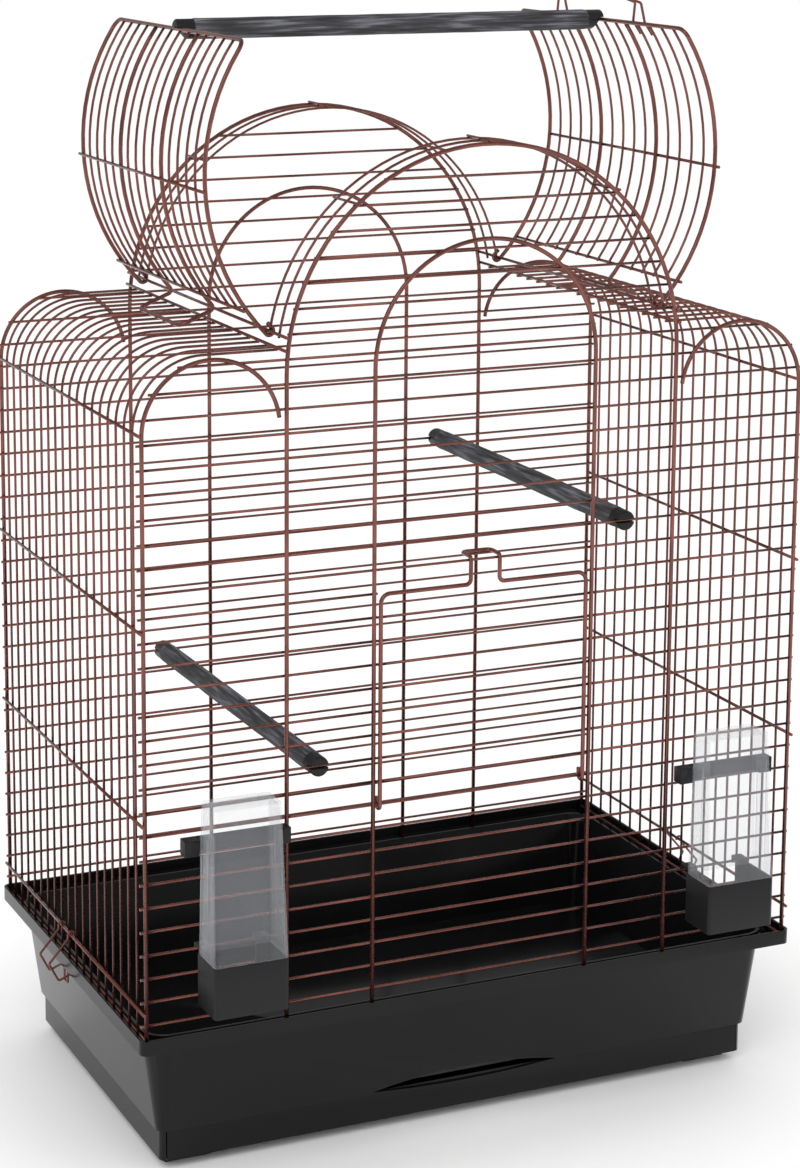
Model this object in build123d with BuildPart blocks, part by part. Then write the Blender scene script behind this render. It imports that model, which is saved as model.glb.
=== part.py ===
"""Open-top budgie cage: a wire body with a domed, two-flap roof on a plastic tray with a pull-out drawer.

Millimetres, +Z up, +X to the right seen from the front, front at -Y.
The origin is on the floor, below the middle of the tray.
"""

import os
from math import asin, ceil, cos, degrees, radians, sin, sqrt

from build123d import *

# Tray
tray_width = 540.0
tray_depth = 337.0
tray_corner = 6.0
rim_height = 116.0
lip_height = 11.0
lip_wall = 2.0
channel_depth = 8.0
channel_floor = 2.0
curb_height = 3.0
tub_wall = 2.2
wall_draft = 8.0
wall_foot_height = 32.0
wall_foot_width = 496.8
wall_foot_depth = 285.2
wall_foot_corner = 8.0
band_width = 491.2
band_depth = 279.6
band_corner = 6.0
front_cheek = 4.0
base_floor = 2.0
foot_height = 8.0
foot_length = 46.0
foot_width = 15.0
foot_ramp = 10.0
foot_side_inset = 8.0
foot_end_inset = 14.0

# Drawer
drawer_wall = 2.0
drawer_gap = 0.8
drawer_lift = 0.3
drawer_rim_gap = 1.6
drawer_front_wall = 2.6
drawer_front_gap = 0.7
grip_width = 160.0
grip_rise = 8.5
grip_dip = 3.5

# Wires
frame_wire = 1.6
thin_wire = 1.0
rail_wire = 1.2
weld = 0.005
running_gap = 0.3
seat_gap = 0.05
wire_sides = 6
arch_turn = 6.0
frame_turn = 15.0
thin_turn = 14.0
side_turn = 30.0
hook_turn = 36.0

# Wire body
body_half_width = 264.6
body_half_depth = 163.9
arch_half_width = 156.7
door_post_x = 88.65
shoulder_spring = 437.0
shoulder_radius = 51.4
shoulder_sweep = 172.0
arch_spring = 473.0
bar_pitch = 17.6
first_bar = 9.0
bar_overrun = 3.5
arch_overrun = 1.0
bar_count = 35
hinge_bar_level = 8
latch_bar_level = 18
side_wire_count = 18
rail_first = 19.0
rail_top_rise = 2.0
rail_count = 4
rail_overrun = 2.2
roof_wire_overrun = 1.5
bottom_rod_height = 4.0

# Roof strips, beside the front and back arches
strip_arcs = 2
strip_tie_angle = 48.5
strip_tie_overrun = 1.6
strip_end_angle = 1.0

# Roof flaps
hinge_height = 500.0
flap_pitch = 17.6
flap_wire_spaces = 15
prop_spaces = 5
flap_open_angle = 54.0
flap_corner = 8.0
flap_meeting_gap = 0.6
flap_mid_angle = 50.5
flap_low_angle = 18.5
flap_bar_overrun = 2.4
hook_tail = 5.0
prop_leave = 7.0
prop_end_x = 191.5
prop_bend = 6.0
latch_rise = 10.0
latch_length = 25.0
latch_y = 61.6
latch_tip = 5.0
latch_tail = 12.0

# Door
door_side_gap = 1.9
door_corner = 7.0
door_loop_half = 11.7
door_loop_depth = 13.0
door_loop_bend = 4.0
door_bar_overrun = 1.2
door_hook_tail = 5.0

# Perches
perch_diameter = 15.0
perch_edge = 1.2
perch_past_wire = 3.0
perch_slot_depth = 6.0
perch_left_x = -131.0
perch_left_level = 10
perch_right_x = 117.0
perch_right_level = 19
top_perch_lip = 2.4
notch_slope = 35.0

# Feeders
feeder_left_x = -198.5
feeder_right_x = 203.0
cup_width = 57.0
cup_depth = 36.0
cup_height = 38.0
cup_level = 3
cup_wall = 1.8
cup_corner = 3.0
cup_window = 34.0
cup_sill = 12.0
cup_hook_reach = 9.0
cup_hook_drop = 4.0
hopper_top_width = 52.0
hopper_top_depth = 26.0
hopper_height = 113.0
hopper_wall = 1.4
hopper_seat = 0.3
hopper_rib = 1.0
hopper_rib_width = 1.6
hopper_rib_height = 90.0
bracket_width = 81.0
bracket_height = 12.0
bracket_plate = 2.4
bracket_arm_depth = 10.0
bracket_level = 8
bracket_drop = 7.0
bracket_side_gap = 2.6

# Side clips
clip_wire = 0.9
clip_y = 10.0
clip_half_width = 11.2
clip_drop = 3.0
clip_bow = 15.0
clip_bow_drop = 2.0
clip_foot_drop = 4.0
clip_under = 2.2
clip_tab_half = 4.0
clip_tab_length = 10.0


def level(index):
    """Height of one horizontal bar of the front and back panels."""
    return rim_height + first_bar + index * bar_pitch


def on_circle(radius, angle):
    """A point on a circle about the roof's centre line, with the angle from the +X side."""
    return (radius * cos(radians(angle)), arch_z + radius * sin(radians(angle)))


def turned(point, pivot, angle):
    """A point in the XZ plane turned about a pivot, positive from +X towards +Z."""
    across = point[0] - pivot[0]
    up = point[1] - pivot[1]
    turn = radians(angle)
    return (pivot[0] + across * cos(turn) - up * sin(turn), pivot[1] + across * sin(turn) + up * cos(turn))


def save(piece, name):
    """Label one finished piece and write its file."""
    piece.label = name
    export_step(piece, f"parts/{name}.step")


def touching(first, second):
    """Distance between the axes of two wires that are welded flat to flat. A radius of 0 is a wire's end."""
    return (first + second) * cos(radians(180 / wire_sides)) - weld


def steps_between(stops, largest):
    """Angles that include every stop, with even steps between them."""
    angles = [stops[0]]
    for start, stop in zip(stops, stops[1:]):
        count = ceil(abs(stop - start) / largest)
        angles += [start + (stop - start) * (index + 1) / count for index in range(count)]
    return angles


def arc(centre, radius, angles):
    """Points (x, z) on a circle in the XZ plane."""
    return [
        (centre[0] + radius * cos(radians(angle)), centre[1] + radius * sin(radians(angle)))
        for angle in angles
    ]


def upright(curve, y, side=1):
    """Points (x, z) set at one depth, on the right or mirrored to the left."""
    return [(side * x, y, z) for x, z in curve]


def rounded(before, corner, after, bend):
    """A corner of a path cut back by one length and turned in two short steps."""
    corner = Vector(*corner)
    inward = (corner - Vector(*before)).normalized() * bend
    outward = (Vector(*after) - corner).normalized() * bend
    return [tuple(corner - inward), tuple(corner + (outward - inward) / 4), tuple(corner + outward)]


def and_back(points, axis):
    """A run, then the same run walked back on the other side of the middle, across one axis."""
    back = [
        tuple(-value if index == axis else value for index, value in enumerate(point))
        for point in reversed(points)
    ]
    return points + back


def bent_wire(points, radius, turn=0):
    """A wire with few sides, bent at each point. The turn is that of its section about its own axis."""
    with BuildPart() as wire:
        with BuildLine() as path:
            Polyline(*points)
        with BuildSketch(Plane(origin=path.line @ 0, z_dir=path.line % 0)):
            RegularPolygon(radius, wire_sides, rotation=turn)
        sweep(path=path.line, transition=Transition.RIGHT)
    return wire.part


def straight_wires(centres, length, radius, along, round_section=False):
    """Parallel straight wires of one length. A wire that something turns on is round and as thick as the others
    are across their flats, so that it is welded at the same distance."""
    with BuildPart() as wire:
        with BuildSketch(Plane(origin=(0, 0, 0), z_dir=along)):
            if round_section:
                Circle(radius * cos(radians(180 / wire_sides)))
            else:
                RegularPolygon(radius, wire_sides)
        extrude(amount=length / 2, both=True)
    return repeated(wire.part, centres)


def repeated(piece, places):
    """Copies of one piece side by side."""
    with BuildPart() as copies:
        with Locations(*places):
            add(piece)
    return copies.part


def spaced(count, pitch):
    """Evenly spaced places about zero."""
    return [(index - (count - 1) / 2) * pitch for index in range(count)]


along_x = (1, 0, 0)
along_y = (0, 1, 0)
flat_out = 180 / wire_sides
sides = {"left": -1, "right": 1}
wire_floor = rim_height - channel_depth
spring_z = rim_height + shoulder_spring
arch_z = rim_height + arch_spring
rail_pitch = (shoulder_spring + rail_top_rise - rail_first) / (rail_count - 1)
shoulder_x = body_half_width - shoulder_radius
bar_y = body_half_depth - touching(frame_wire, thin_wire)
os.makedirs("parts", exist_ok=True)

# Tray: a tapered wall under a rim channel, a lower band on three sides and a floor on four feet
wall_height = wire_floor - wall_foot_height
slot_half = band_width / 2 - front_cheek
front_face = band_depth / 2
with BuildPart() as base_tub:
    with BuildSketch(Plane.XY.offset(rim_height - lip_height)):
        RectangleRounded(tray_width, tray_depth, tray_corner)
    extrude(amount=lip_height)
    with BuildSketch(Plane.XY.offset(wire_floor)):
        RectangleRounded(tray_width - 2 * lip_wall, tray_depth - 2 * lip_wall, tray_corner - lip_wall)
    extrude(amount=channel_depth, mode=Mode.SUBTRACT)
    with BuildSketch(Plane.XY.offset(rim_height - lip_height)):
        RectangleRounded(tray_width - 2 * lip_wall, tray_depth - 2 * lip_wall, tray_corner - lip_wall)
    extrude(amount=lip_height - channel_depth - channel_floor, mode=Mode.SUBTRACT)
    with BuildSketch(Plane.XY.offset(wall_foot_height)):
        RectangleRounded(wall_foot_width, wall_foot_depth, wall_foot_corner)
    extrude(amount=wall_height + curb_height, taper=-wall_draft)
    with BuildSketch(Plane.XY.offset(foot_height)):
        RectangleRounded(band_width, band_depth, band_corner)
    extrude(amount=wall_foot_height - foot_height)
    with BuildSketch(Plane.XY.offset(wall_foot_height + tub_wall)):
        RectangleRounded(
            wall_foot_width - 2 * tub_wall, wall_foot_depth - 2 * tub_wall, wall_foot_corner - tub_wall
        )
    extrude(amount=wall_height + curb_height, taper=-wall_draft, mode=Mode.SUBTRACT)
    with BuildSketch(Plane.XY.offset(foot_height + base_floor)):
        RectangleRounded(band_width - 2 * tub_wall, band_depth - 2 * tub_wall, band_corner - tub_wall)
    extrude(amount=wall_foot_height - foot_height, mode=Mode.SUBTRACT)
    # The open front of the band, where the drawer's own front fills in
    front_cut = drawer_front_wall + drawer_front_gap
    with Locations((0, front_cut / 2 - front_face, wall_foot_height)):
        Box(
            2 * slot_half,
            front_cut,
            2 * (wall_foot_height - foot_height) + 2,
            align=(Align.CENTER, Align.CENTER, Align.MAX),
            mode=Mode.SUBTRACT,
        )
    # The finger arch in the foot of the front wall
    with BuildSketch(Plane.XZ.offset(wall_foot_depth / 2 + grip_rise)):
        with BuildLine():
            ThreePointArc(
                (-grip_width / 2, wall_foot_height),
                (0, wall_foot_height + grip_rise),
                (grip_width / 2, wall_foot_height),
            )
            Line((grip_width / 2, wall_foot_height), (-grip_width / 2, wall_foot_height))
        make_face()
    extrude(amount=-(grip_rise + 3 * tub_wall), mode=Mode.SUBTRACT)
    # Feet with a ramped inner end
    foot_outer = band_width / 2 - foot_side_inset
    foot_y = front_face - foot_end_inset - foot_width
    for side in (-1, 1):
        for foot_start in (-foot_y, foot_y + foot_width):
            with BuildSketch(Plane.XZ.offset(-foot_start)):
                with BuildLine():
                    Polyline(
                        (side * foot_outer, foot_height),
                        (side * foot_outer, 0),
                        (side * (foot_outer - foot_length + foot_ramp), 0),
                        (side * (foot_outer - foot_length), foot_height),
                        close=True,
                    )
                make_face()
            extrude(amount=foot_width)
save(base_tub.part, "base_tub")

# Drawer: a shallow litter tray behind a front panel
drawer_base = foot_height + base_floor + drawer_lift
drawer_back = front_face - tub_wall - drawer_gap
drawer_top = wall_foot_height - drawer_rim_gap
drawer_depth = drawer_back + front_face - drawer_front_wall
drawer_y = (drawer_back - front_face + drawer_front_wall) / 2
panel_half = slot_half - drawer_front_gap
panel_top = wall_foot_height - drawer_front_gap
with BuildPart() as drawer:
    with Locations((0, drawer_y, drawer_base)):
        Box(
            2 * panel_half,
            drawer_depth,
            drawer_top - drawer_base,
            align=(Align.CENTER, Align.CENTER, Align.MIN),
        )
    with Locations((0, drawer_y, drawer_base + drawer_wall)):
        Box(
            2 * (panel_half - drawer_wall),
            drawer_depth - 2 * drawer_wall,
            drawer_top,
            align=(Align.CENTER, Align.CENTER, Align.MIN),
            mode=Mode.SUBTRACT,
        )
    with BuildSketch(Plane.XZ.offset(front_face - drawer_front_wall)):
        with BuildLine():
            Polyline(
                (-grip_width / 2, panel_top),
                (-panel_half, panel_top),
                (-panel_half, foot_height),
                (panel_half, foot_height),
                (panel_half, panel_top),
                (grip_width / 2, panel_top),
            )
            ThreePointArc(
                (-grip_width / 2, panel_top), (0, panel_top - grip_dip), (grip_width / 2, panel_top)
            )
        make_face()
    extrude(amount=drawer_front_wall)
save(drawer.part, "drawer")

# Posts: each corner wire runs up, over the shoulder and ends free beside the arch
shoulder = arc((shoulder_x, spring_z), shoulder_radius, steps_between((0, shoulder_sweep), frame_turn))
for end, y in (("front", -body_half_depth), ("back", body_half_depth)):
    for name, side in sides.items():
        post = upright([(body_half_width, wire_floor)] + shoulder, y, side)
        save(bent_wire(post, frame_wire), f"{end}_post_{name}")

# Arches: the outer one carries the roof and the inner one frames the door
for end, y in (("front", -body_half_depth), ("back", body_half_depth)):
    for name, half, turn in (("outer", arch_half_width, arch_turn), ("inner", door_post_x, frame_turn)):
        half_curve = [(half, wire_floor)] + arc((0, arch_z), half, steps_between((0, 90), turn))
        path = upright(half_curve, y) + upright(half_curve[-2::-1], y, -1)
        save(bent_wire(path, frame_wire), f"{end}_arch_{name}")


def bar_half_length(z):
    """Half the panel's width at one height, with the short ends past the outer wires."""
    if z <= spring_z:
        return body_half_width + bar_overrun
    if z < spring_z + shoulder_radius:
        return shoulder_x + sqrt(shoulder_radius**2 - (z - spring_z) ** 2) + bar_overrun
    return sqrt(arch_half_width**2 - max(z - arch_z, 0) ** 2) + arch_overrun


def panel_bars(indexes, y, round_index=None):
    """Full-width horizontal bars of one panel."""
    with BuildPart() as bars:
        for index in indexes:
            length = 2 * bar_half_length(level(index))
            add(straight_wires([(0, y, level(index))], length, thin_wire, along_x, index == round_index))
    return bars.part


def split_bars(indexes, y):
    """Horizontal bars that stop at the door posts."""
    outer = body_half_width + bar_overrun
    inner = door_post_x - bar_overrun
    centres = [
        (side * (outer + inner) / 2, y, level(index)) for index in indexes for side in (-1, 1)
    ]
    return straight_wires(centres, outer - inner, thin_wire, along_x)


save(panel_bars(range(0, hinge_bar_level + 1), -bar_y, hinge_bar_level), "front_bars_lower")
save(split_bars(range(hinge_bar_level + 1, latch_bar_level), -bar_y), "front_bars_door")
save(panel_bars(range(latch_bar_level, bar_count), -bar_y), "front_bars_upper")
save(panel_bars(range(0, latch_bar_level), bar_y), "back_bars_lower")
save(panel_bars(range(latch_bar_level, bar_count), bar_y), "back_bars_upper")

# Side wires: up the side, over the shoulder and in to the roof rail
rail_x = body_half_width + touching(frame_wire, rail_wire)
side_x = rail_x - touching(rail_wire, thin_wire)
side_radius = side_x - shoulder_x
roof_wire_z = spring_z + side_radius
roof_rail_z = roof_wire_z + touching(thin_wire, rail_wire)
roof_rail_x = sqrt((arch_half_width + touching(frame_wire, rail_wire)) ** 2 - (roof_rail_z - arch_z) ** 2)
side_pitch = 2 * body_half_depth / (side_wire_count + 1)
side_places = [(0, y, 0) for y in spaced(side_wire_count, side_pitch)]
rod_x = side_x - touching(thin_wire, rail_wire)
rod_z = wire_floor + bottom_rod_height
rod_length = 2 * (body_half_depth - frame_wire - running_gap)
rail_length = 2 * (body_half_depth + rail_overrun)
for name, side in sides.items():
    bend = arc((shoulder_x, spring_z), side_radius, steps_between((0, 90), side_turn))
    curve = [(side_x, wire_floor + running_gap)] + bend + [(roof_rail_x - roof_wire_overrun, roof_wire_z)]
    side_wire = bent_wire(upright(curve, 0, side), thin_wire, flat_out)
    save(repeated(side_wire, side_places), f"side_wires_{name}")
    rail_heights = [rim_height + rail_first + row * rail_pitch for row in range(rail_count)]
    with BuildPart() as rails:
        for height in rail_heights:
            place = [(side * rail_x, 0, height)]
            add(straight_wires(place, rail_length, rail_wire, along_y, height == rail_heights[0]))
    save(rails.part, f"side_rails_{name}")
    rod = [(side * rod_x, 0, rod_z)]
    save(straight_wires(rod, rod_length, rail_wire, along_y), f"bottom_rod_{name}")

# Roof rails at the inner edge of the shoulders, and the bars that the flaps hang on
hinge_radius = arch_half_width + touching(frame_wire, rail_wire)
hinge_angle = degrees(asin((rim_height + hinge_height - arch_z) / hinge_radius))
hinge_x, hinge_z = on_circle(hinge_radius, hinge_angle)
save(
    straight_wires([(side * roof_rail_x, 0, roof_rail_z) for side in (-1, 1)], rail_length, rail_wire, along_y),
    "roof_rails",
)
save(
    straight_wires([(side * hinge_x, 0, hinge_z) for side in (-1, 1)], rail_length, rail_wire, along_y, True),
    "hinge_bars",
)

# Roof strips: two thin arcs inside each end arch, tied to it across the top
strip_radius = hinge_radius - touching(rail_wire, thin_wire)
tie_radius = strip_radius + touching(thin_wire, thin_wire)
strip_start = hinge_angle - strip_end_angle
tie_angles = (strip_tie_angle, 90, 180 - strip_tie_angle)
tie_outer = body_half_depth + strip_tie_overrun
tie_inner = body_half_depth - strip_arcs * bar_pitch - strip_tie_overrun
strip_curve = arc((0, arch_z), strip_radius, steps_between((strip_start, *tie_angles, 180 - strip_start), thin_turn))
for end, face in (("front", -1), ("back", 1)):
    ties = [(x, face * (tie_outer + tie_inner) / 2, z) for x, z in arc((0, arch_z), tie_radius, tie_angles)]
    with BuildPart() as strip:
        for row in range(1, strip_arcs + 1):
            add(bent_wire(upright(strip_curve, face * (body_half_depth - row * bar_pitch)), thin_wire, flat_out))
        add(straight_wires(ties, tie_outer - tie_inner, thin_wire, along_y))
    save(strip.part, f"roof_strip_{end}")

# Roof flaps, drawn open: the left one is turned out from the roof's circle, the right one mirrors it
flap_radius = hinge_radius + rail_wire + frame_wire + running_gap
flap_bar_radius = flap_radius + touching(frame_wire, rail_wire)
thin_radius = flap_bar_radius - touching(rail_wire, thin_wire)
hook_radius = rail_wire + frame_wire + running_gap
flap_half = flap_wire_spaces * flap_pitch / 2
left_hinge = (-hinge_x, hinge_z)
flap_centre = turned((0, arch_z), left_hinge, flap_open_angle)
meeting_angle = degrees(asin((frame_wire + flap_meeting_gap / 2) / flap_radius))
top_angle = 90 + meeting_angle + flap_open_angle
foot_angle = 180 - hinge_angle + flap_open_angle


def on_flap(radius, angle):
    """A point on the open left flap, with the angle about the flap's own centre."""
    return (
        flap_centre[0] + radius * cos(radians(angle)),
        flap_centre[1] + radius * sin(radians(angle)),
    )


low_angle = 180 - flap_low_angle + flap_open_angle
mid_angle = 180 - flap_mid_angle + flap_open_angle
corner_angle = top_angle + degrees(flap_corner / flap_radius)
edge_stops = (foot_angle, low_angle, mid_angle, corner_angle)
edge = upright(arc(flap_centre, flap_radius, steps_between(edge_stops, thin_turn)), -flap_half)
hook = upright(arc(left_hinge, hook_radius, steps_between((foot_angle + 180, foot_angle), hook_turn)), -flap_half)
tail_x, tail_z = turned((0, hook_tail), (0, 0), foot_angle - 180)
tail = (hook[0][0] + tail_x, -flap_half, hook[0][2] + tail_z)
lead_x, lead_z = turned((flap_corner, 0), (0, 0), corner_angle - 90)
top_corner = (edge[-1][0] + lead_x, -flap_half, edge[-1][2] + lead_z)
top_turn = rounded(edge[-1], top_corner, (top_corner[0], 0, top_corner[2]), flap_corner)
flap_frame = bent_wire(and_back([tail] + hook + edge[1:-1] + top_turn, 1), frame_wire)

flap_rows = [index for index in range(1, flap_wire_spaces) if index % prop_spaces]
flap_places = [(0, (index - flap_wire_spaces / 2) * flap_pitch, 0) for index in flap_rows]
thin_start = top_angle + degrees(touching(frame_wire, 0) / flap_radius)
thin_stop = low_angle + degrees((rail_wire + thin_wire) / flap_radius)
thin_curve = arc(flap_centre, thin_radius, steps_between((thin_start, mid_angle, thin_stop), thin_turn))
flap_wires = repeated(bent_wire(upright(thin_curve, 0), thin_wire, flat_out), flap_places)

cross_bars = []
for angle in (mid_angle, low_angle):
    bar_x, bar_z = on_flap(flap_bar_radius, angle)
    cross_bars.append((bar_x, 0, bar_z))
flap_bars = straight_wires(cross_bars, 2 * (flap_half + flap_bar_overrun), rail_wire, along_y)

prop_y = prop_spaces * flap_pitch / 2
prop_stop = foot_angle - degrees(prop_leave / flap_radius)
prop_rest_z = roof_wire_z + thin_wire + frame_wire + running_gap
prop_curve = arc(flap_centre, flap_radius, steps_between((thin_start, mid_angle, low_angle, prop_stop), thin_turn))
prop = upright(prop_curve, -prop_y)
prop_corner = (-prop_end_x, -prop_y, prop_rest_z)
prop_end = rounded(prop[-1], prop_corner, (-prop_end_x, 0, prop_rest_z), prop_bend)
flap_prop = bent_wire(and_back(prop + prop_end, 1), frame_wire)

for name, side in sides.items():
    pieces = (("frame", flap_frame), ("wires", flap_wires), ("bars", flap_bars), ("prop", flap_prop))
    for kind, piece in pieces:
        save(piece if side < 0 else mirror(piece, about=Plane.YZ), f"flap_{name}_{kind}")

# Latches: two wire loops that stand up from the right flap's top bar
out_dir = turned((1, 0), (0, 0), top_angle - 90)
up_dir = turned((0, 1), (0, 0), top_angle - 90)
bar_x, bar_z = on_flap(flap_radius, top_angle)


def latch_point(along, out, up):
    """A point by the right flap's top bar: along the bar, past it and off its face."""
    across = bar_x + out * out_dir[0] + up * up_dir[0]
    height = bar_z + out * out_dir[1] + up * up_dir[1]
    return (-across, along, height)


foot_up = frame_wire + touching(0, thin_wire)
latch = and_back(
    [
        latch_point(-flap_pitch / 2, -latch_tail, foot_up),
        latch_point(-flap_pitch / 2, 0, foot_up),
        latch_point(-flap_pitch / 4, latch_length / 2, latch_rise),
        latch_point(-latch_tip / 2, latch_length, thin_wire),
    ],
    1,
)
save(repeated(bent_wire(latch, thin_wire, flat_out), [(0, -latch_y, 0), (0, latch_y, 0)]), "flap_right_latches")

# Door: one bent wire hooked on the bar below it, with a finger loop over the bar above
hinge_level = level(hinge_bar_level)
latch_level = level(latch_bar_level)
door_half = door_post_x - 2 * frame_wire - door_side_gap
door_offset = frame_wire + thin_wire + running_gap
door_y = -bar_y - door_offset
door_bends = (door_corner, door_loop_bend, door_offset, door_loop_bend)
door_top = level(latch_bar_level - 1)
loop_z = latch_level + door_offset
loop_y = door_y + door_loop_depth + door_offset
door_run = [
    (-door_half, door_y, hinge_level),
    (-door_half, door_y, door_top),
    (-door_loop_half, door_y, door_top),
    (-door_loop_half, door_y, loop_z),
    (-door_loop_half, loop_y, loop_z),
    (0, loop_y, loop_z),
]
door_path = [
    (-door_half, door_offset * cos(radians(angle)) - bar_y, hinge_level + door_offset * sin(radians(angle)))
    for angle in steps_between((0, -180), hook_turn)
]
door_path.insert(0, (-door_half, door_offset - bar_y, hinge_level + door_hook_tail))
for before, corner, after, bend in zip(door_run, door_run[1:], door_run[2:], door_bends):
    door_path += rounded(before, corner, after, bend)
save(bent_wire(and_back(door_path, 0), frame_wire), "door_frame")
door_bar_y = door_y + touching(frame_wire, thin_wire)
door_levels = range(hinge_bar_level + 1, latch_bar_level - 1)
door_centres = [(0, door_bar_y, level(index)) for index in door_levels]
save(straight_wires(door_centres, 2 * (door_half + door_bar_overrun), thin_wire, along_x), "door_bars")

# Inner perches: front to back, gripping a bar of each panel in an end slot
perch_half = bar_y + perch_past_wire
slot_height = 2 * (thin_wire + running_gap)
for name, x, index in (("left", perch_left_x, perch_left_level), ("right", perch_right_x, perch_right_level)):
    with BuildPart() as perch:
        with BuildSketch(Plane(origin=(x, 0, level(index)), z_dir=along_y)):
            Circle(perch_diameter / 2)
        extrude(amount=perch_half, both=True)
        chamfer(perch.edges().filter_by(GeomType.CIRCLE), perch_edge)
        for face in (-1, 1):
            with Locations((x, face * (perch_half - perch_slot_depth / 2), level(index))):
                Box(perch_diameter, perch_slot_depth, slot_height, mode=Mode.SUBTRACT)
    save(perch.part, f"perch_{name}")

# Top perch: across the open flaps, notched from below so that it lifts off their top bars
top_bar_x, top_bar_z = on_flap(flap_radius, top_angle)
top_half = -top_bar_x + top_perch_lip
seat_z = top_bar_z + frame_wire + running_gap
notch_in = -top_bar_x - frame_wire - 2 * running_gap
notch_drop = perch_diameter
with BuildPart() as top_perch:
    with BuildSketch(Plane(origin=(0, 0, top_bar_z), z_dir=along_x)):
        Circle(perch_diameter / 2)
    extrude(amount=top_half, both=True)
    chamfer(top_perch.edges().filter_by(GeomType.CIRCLE), perch_edge)
    for side in (-1, 1):
        with BuildSketch(Plane.XZ.offset(-perch_diameter)):
            with BuildLine():
                Polyline(
                    (side * (top_half + 1), seat_z),
                    (side * notch_in, seat_z),
                    (side * notch_in, top_bar_z),
                    (side * (notch_in - notch_drop * sin(radians(notch_slope))), top_bar_z - notch_drop),
                    (side * (top_half + 1), top_bar_z - notch_drop),
                    close=True,
                )
            make_face()
        extrude(amount=2 * perch_diameter, mode=Mode.SUBTRACT)
save(top_perch.part, "top_perch")

# Feeders: a cup hooked on a bar, a clear hopper on it and a bracket that holds the hopper to the cage
cup_top = level(cup_level) - thin_wire - running_gap
cup_back = body_half_depth + frame_wire + running_gap
cup_hook_z = level(cup_level) + thin_wire + seat_gap
bracket_top = level(bracket_level) - thin_wire - running_gap
cup_mid = -cup_back - cup_depth / 2
foot_z = cup_top + hopper_seat
hopper_back = -cup_back - bracket_plate
hopper_foot_depth = cup_depth - bracket_plate
arm_gap = hopper_top_width / 2 + hopper_rib + bracket_side_gap
arm_width = bracket_width / 2 - arm_gap


def hopper_form(centre, inset):
    """The hopper's outside, or with an inset its hollow: upright at the back, narrower to the top on three sides."""
    half_foot = cup_width / 2 - inset
    half_top = hopper_top_width / 2 - inset
    start = foot_z - inset
    stop = foot_z + hopper_height - inset
    back = hopper_back - inset
    with BuildPart() as form:
        with BuildSketch(Plane.XZ.offset(-back)):
            with Locations((centre, 0)):
                Polygon((-half_foot, start), (half_foot, start), (half_top, stop), (-half_top, stop), align=None)
        extrude(amount=hopper_foot_depth)
        with BuildSketch(Plane.YZ.offset(centre)):
            Polygon(
                (back, start),
                (back, stop),
                (hopper_back - hopper_top_depth + inset, stop),
                (hopper_back - hopper_foot_depth + inset, start),
                align=None,
            )
        extrude(amount=half_foot, both=True, mode=Mode.INTERSECT)
        corners = form.edges().filter_by(lambda edge: abs((edge @ 1 - edge @ 0).Z) > hopper_height / 2)
        fillet(corners, cup_corner - inset)
    return form.part


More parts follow.
